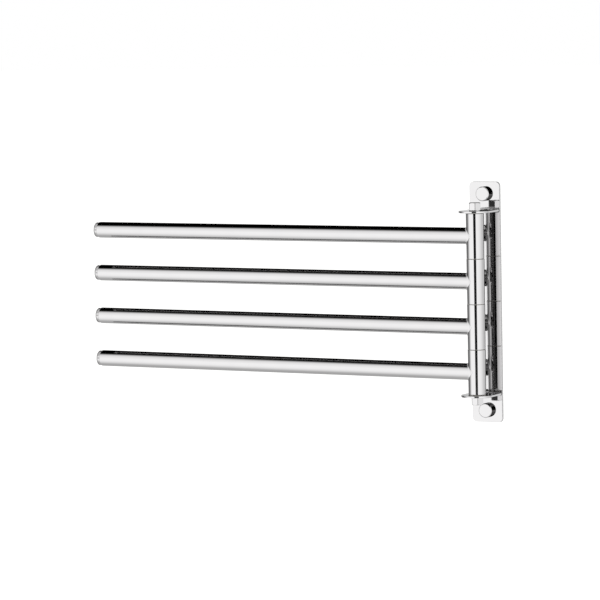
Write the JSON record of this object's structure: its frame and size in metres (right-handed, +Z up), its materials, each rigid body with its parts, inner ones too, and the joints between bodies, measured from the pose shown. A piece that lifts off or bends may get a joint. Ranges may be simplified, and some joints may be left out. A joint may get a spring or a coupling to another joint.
{
  "type": "swing arm towel bar",
  "caption": "Wall-mounted towel rail with round tubular arms that swivel separately on one upright pivot column in front of a narrow wall plate.",
  "frame": {"origin": "middle of the wall plate's back face, on the plane of the wall", "axes": "+Z up; +Y into the wall; +X to the right of someone facing the wall, so at rest the arms point along -X"},
  "size_m": [0.4585, 0.069, 0.24],
  "materials": {
    "polished_stainless": "mirror polished stainless steel",
    "turned_steel": "turned stainless steel",
    "screw_steel": "plain stainless steel",
    "nylon": "natural nylon"
  },
  "bodies": {
    "wall_bracket": {"wall_plate": "polished_stainless", "upper_ear": "polished_stainless", "lower_ear": "polished_stainless", "pivot_shaft": "turned_steel", "lock_nuts": "polished_stainless", "thrust_washers": "nylon", "wall_screws": "screw_steel", "upper_cover_seat": "nylon", "upper_screw_cover": "polished_stainless", "lower_cover_seat": "nylon", "lower_screw_cover": "polished_stainless"},
    "arm_1": {"barrel_1": "polished_stainless", "upper_bush_1": "nylon", "lower_bush_1": "nylon", "arm_tube_1": "polished_stainless", "end_cap_1": "polished_stainless"},
    "arm_2": {"barrel_2": "polished_stainless", "upper_bush_2": "nylon", "lower_bush_2": "nylon", "arm_tube_2": "polished_stainless", "end_cap_2": "polished_stainless"},
    "arm_3": {"barrel_3": "polished_stainless", "upper_bush_3": "nylon", "lower_bush_3": "nylon", "arm_tube_3": "polished_stainless", "end_cap_3": "polished_stainless"},
    "arm_4": {"barrel_4": "polished_stainless", "upper_bush_4": "nylon", "lower_bush_4": "nylon", "arm_tube_4": "polished_stainless", "end_cap_4": "polished_stainless"}
  },
  "joints": [
    {"name": "arm_1_swivel", "type": "hinge", "parent": "wall_bracket", "child": "arm_1", "pos_m": [0, -0.025, 0.06735], "axis": [0, 0, 1], "range_deg": [0, 180]},
    {"name": "arm_2_swivel", "type": "hinge", "parent": "wall_bracket", "child": "arm_2", "pos_m": [0, -0.025, 0.02235], "axis": [0, 0, 1], "range_deg": [0, 180]},
    {"name": "arm_3_swivel", "type": "hinge", "parent": "wall_bracket", "child": "arm_3", "pos_m": [0, -0.025, -0.02265], "axis": [0, 0, 1], "range_deg": [0, 180]},
    {"name": "arm_4_swivel", "type": "hinge", "parent": "wall_bracket", "child": "arm_4", "pos_m": [0, -0.025, -0.06765], "axis": [0, 0, 1], "range_deg": [0, 180]}
  ]
}
